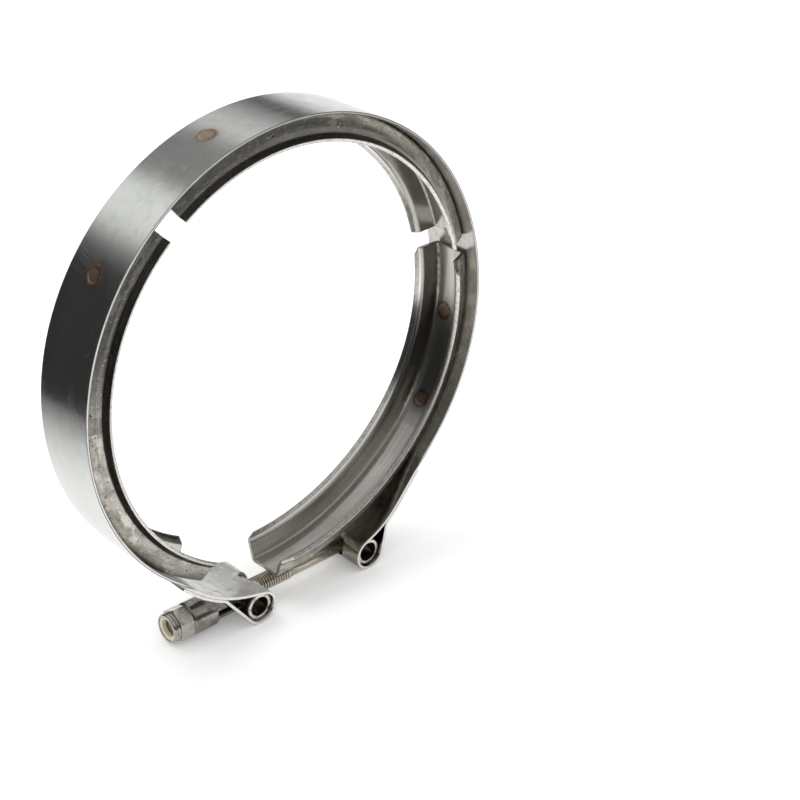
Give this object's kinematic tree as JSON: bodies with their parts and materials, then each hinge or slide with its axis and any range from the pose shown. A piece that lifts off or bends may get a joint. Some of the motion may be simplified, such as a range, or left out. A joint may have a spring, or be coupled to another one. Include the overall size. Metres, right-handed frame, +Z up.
{
  "type": "v-band clamp",
  "caption": "Round steel band clamp with inner V-groove channels, closed by a T-bolt and a nylon lock nut, for joining flanged pipes.",
  "frame": {"origin": "centre of the ring on the mid-plane of its V-groove", "axes": "+Y along the ring's axis, +Z up from the closure to the top of the ring, +X along the T-bolt from the lock nut to the bolt's barrel"},
  "size_m": [0.1526, 0.0222, 0.1646],
  "materials": {
    "band_steel": "brushed",
    "retainer_steel": "mill",
    "bolt_steel": "satin",
    "barrel_steel": "satin",
    "nut_steel": "satin",
    "nylon": "satin"
  },
  "bodies": {
    "clamp": {"band": "band_steel", "retainer_left": "retainer_steel", "retainer_top": "retainer_steel", "retainer_right": "retainer_steel"},
    "bolt": {"t_bolt": "bolt_steel", "bolt_barrel": "barrel_steel"},
    "trunnion": {"trunnion": "barrel_steel"},
    "insert": {"nylon_insert": "nylon"},
    "nut": {"lock_nut": "nut_steel"}
  },
  "joints": [
    {"name": "bolt_pivot", "type": "hinge", "parent": "clamp", "child": "bolt", "pos_m": [0.0297, 0, -0.0825], "axis": [0, 1, 0], "range_deg": [0, 0.45]},
    {"name": "trunnion_pivot", "type": "hinge", "parent": "clamp", "child": "trunnion", "pos_m": [-0.0171, 0, -0.0825], "axis": [0, 1, 0], "range_deg": [0, 0.45]},
    {"name": "nut_travel", "type": "slide", "parent": "bolt", "child": "insert", "axis": [-1, 0, 0], "range_m": [0, 0.005]},
    {"name": "nut_turn", "type": "hinge", "parent": "insert", "child": "nut", "pos_m": [-0.042, 0, -0.0825], "axis": [-1, 0, 0], "range_deg": [0, 1800]}
  ],
  "couplings": [
    {"joint": "trunnion_pivot", "follows": "bolt_pivot", "ratio": 1},
    {"joint": "nut_turn", "follows": "nut_travel", "rad_per_m": 6283.2}
  ]
}
